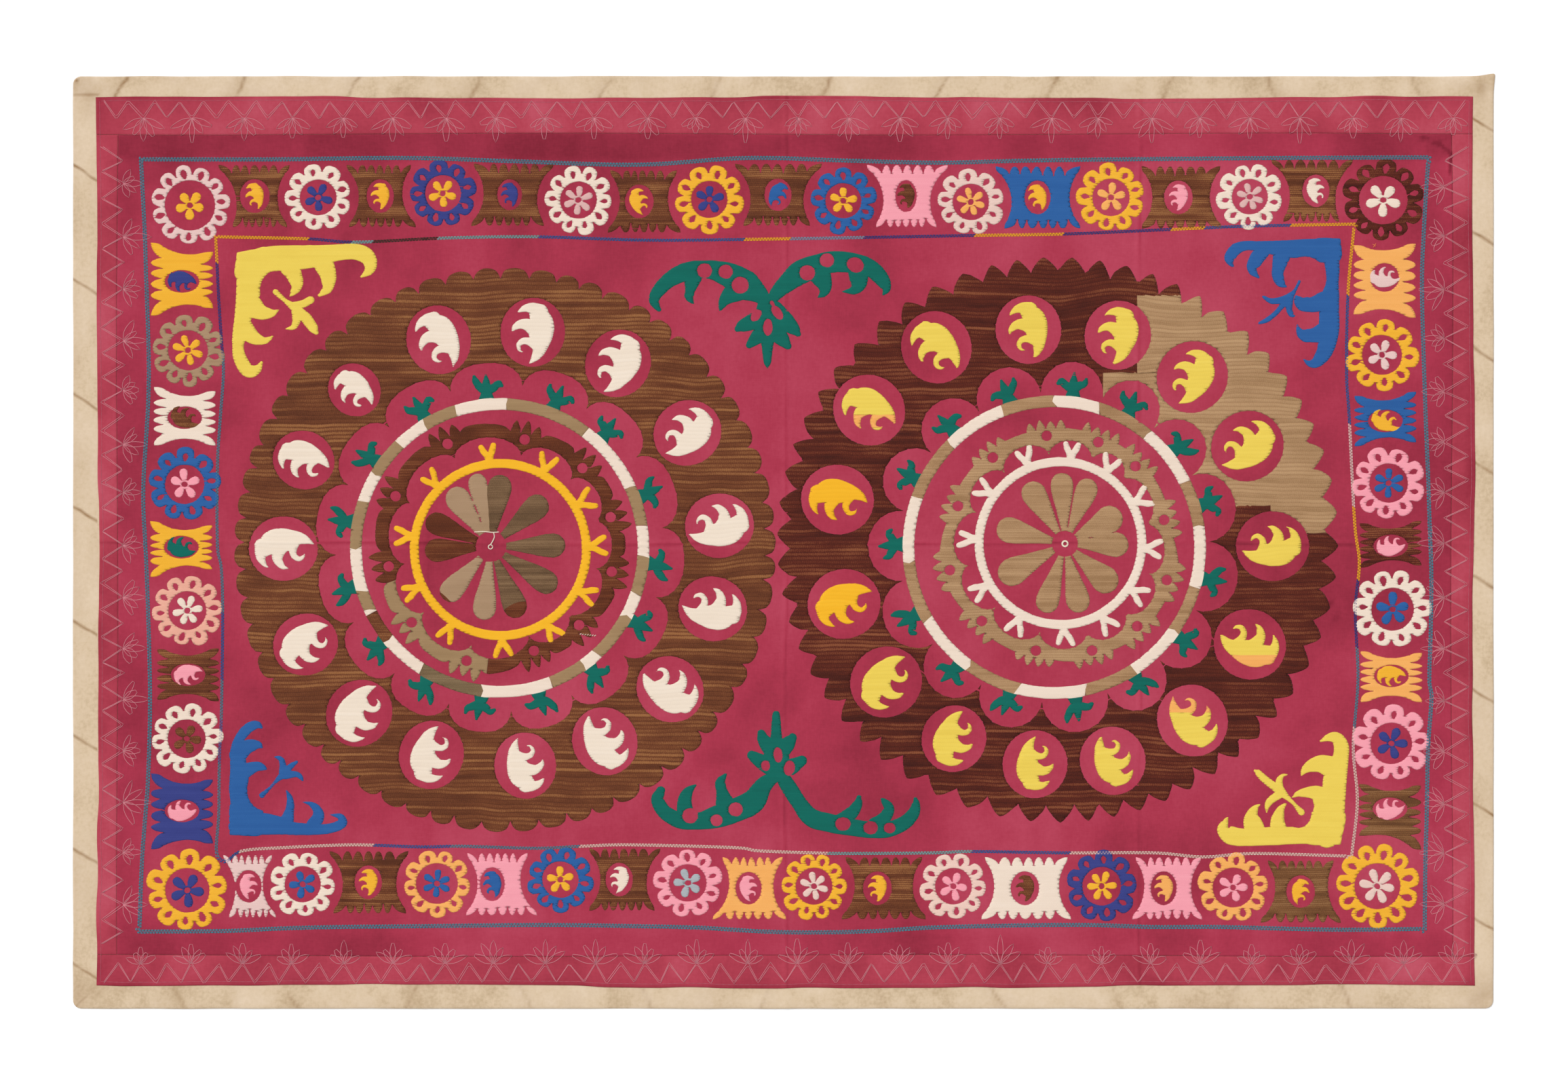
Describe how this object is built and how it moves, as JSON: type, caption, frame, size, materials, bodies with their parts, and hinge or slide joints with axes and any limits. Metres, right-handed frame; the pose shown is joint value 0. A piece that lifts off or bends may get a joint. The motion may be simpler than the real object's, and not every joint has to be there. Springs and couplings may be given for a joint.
{
  "type": "suzani embroidered textile",
  "caption": "Flat rectangular cotton hanging with a magenta embroidered ground of two serrated wheel medallions and a rosette border, four edging strips and a cream backing that shows all round",
  "frame": {"origin": "middle of the cloth's underside, on the surface that it lies on", "axes": "+X along the cloth's length, +Y up its height as it would hang, +Z out of the worked face"},
  "size_m": [2.13, 1.4, 0.0041],
  "materials": {
    "backing_cotton": "plain weave cream cotton with faint brown age stains",
    "ground_cotton": "plain weave magenta cotton, slightly faded",
    "edging_cotton": "plain weave magenta cotton, more faded than the ground",
    "embroidery_yarn": "chain stitched yarn with a soft sheen"
  },
  "bodies": {
    "root": {"backing_cloth": "backing_cotton", "ground_cloth": "ground_cotton", "edging_top": "edging_cotton", "edging_bottom": "edging_cotton", "edging_left": "edging_cotton", "edging_right": "edging_cotton"}
  },
  "joints": []
}
